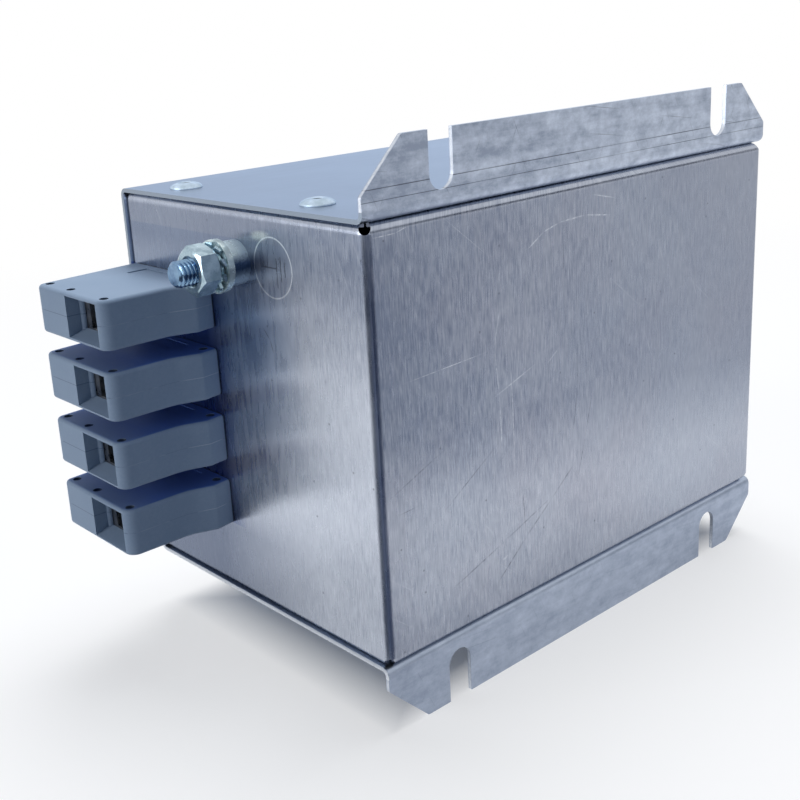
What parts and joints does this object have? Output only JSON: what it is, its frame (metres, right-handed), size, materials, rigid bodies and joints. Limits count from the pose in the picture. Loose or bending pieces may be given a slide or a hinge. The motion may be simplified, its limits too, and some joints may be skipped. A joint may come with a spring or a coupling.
{
  "type": "power line filter",
  "caption": "Power line filter in a folded sheet metal box with slotted mounting flanges, stacked touch-safe terminal blocks at both ends and threaded earth studs.",
  "frame": {"origin": "middle of the mounting face, the outside of the tray's base", "axes": "+X along the box from the line end to the load end, +Y from the mounting face to the label face, +Z across the box from the lower flange to the upper one"},
  "size_m": [0.2006, 0.093, 0.131],
  "materials": {
    "sheet": "brushed, bluish grey",
    "rivet": "satin",
    "zinc": "bright zinc plated",
    "block": "smooth moulded",
    "bar_copper": "tinned copper",
    "winding_copper": "enamelled copper",
    "ferrite": "dull sintered",
    "cradle": "moulded",
    "board": "varnished laminate",
    "capacitor": "moulded box",
    "disc": "dipped",
    "resistor": "lacquered"
  },
  "bodies": {
    "root": {"base_tray": "sheet", "cover": "sheet", "cover_rivets": "rivet", "line_1_socket_half": "block", "line_1_peg_half": "block", "line_1_wire_clamp": "zinc", "line_1_current_bar": "bar_copper", "line_2_socket_half": "block", "line_2_peg_half": "block", "line_2_wire_clamp": "zinc", "line_2_current_bar": "bar_copper", "line_3_socket_half": "block", "line_3_peg_half": "block", "line_3_wire_clamp": "zinc", "line_3_current_bar": "bar_copper", "line_4_socket_half": "block", "line_4_peg_half": "block", "line_4_wire_clamp": "zinc", "line_4_current_bar": "bar_copper", "load_1_socket_half": "block", "load_1_peg_half": "block", "load_1_wire_clamp": "zinc", "load_1_current_bar": "bar_copper", "load_2_socket_half": "block", "load_2_peg_half": "block", "load_2_wire_clamp": "zinc", "load_2_current_bar": "bar_copper", "load_3_socket_half": "block", "load_3_peg_half": "block", "load_3_wire_clamp": "zinc", "load_3_current_bar": "bar_copper", "load_4_socket_half": "block", "load_4_peg_half": "block", "load_4_wire_clamp": "zinc", "load_4_current_bar": "bar_copper", "clamp_screws": "zinc", "line_earth_bolt": "zinc", "line_earth_collar": "zinc", "line_flat_washer": "zinc", "line_lock_washer": "zinc", "line_earth_nut": "zinc", "load_earth_bolt": "zinc", "load_earth_collar": "zinc", "load_flat_washer": "zinc", "load_lock_washer": "zinc", "load_earth_nut": "zinc", "choke_core": "ferrite", "choke_winding_1": "winding_copper", "choke_winding_2": "winding_copper", "choke_winding_3": "winding_copper", "choke_winding_4": "winding_copper", "choke_cradle": "cradle", "circuit_board": "board", "x_capacitor_1": "capacitor", "x_capacitor_2": "capacitor", "x_capacitor_3": "capacitor", "y_capacitors": "disc", "bleed_resistors": "resistor", "earth_lead": "winding_copper"}
  },
  "joints": []
}
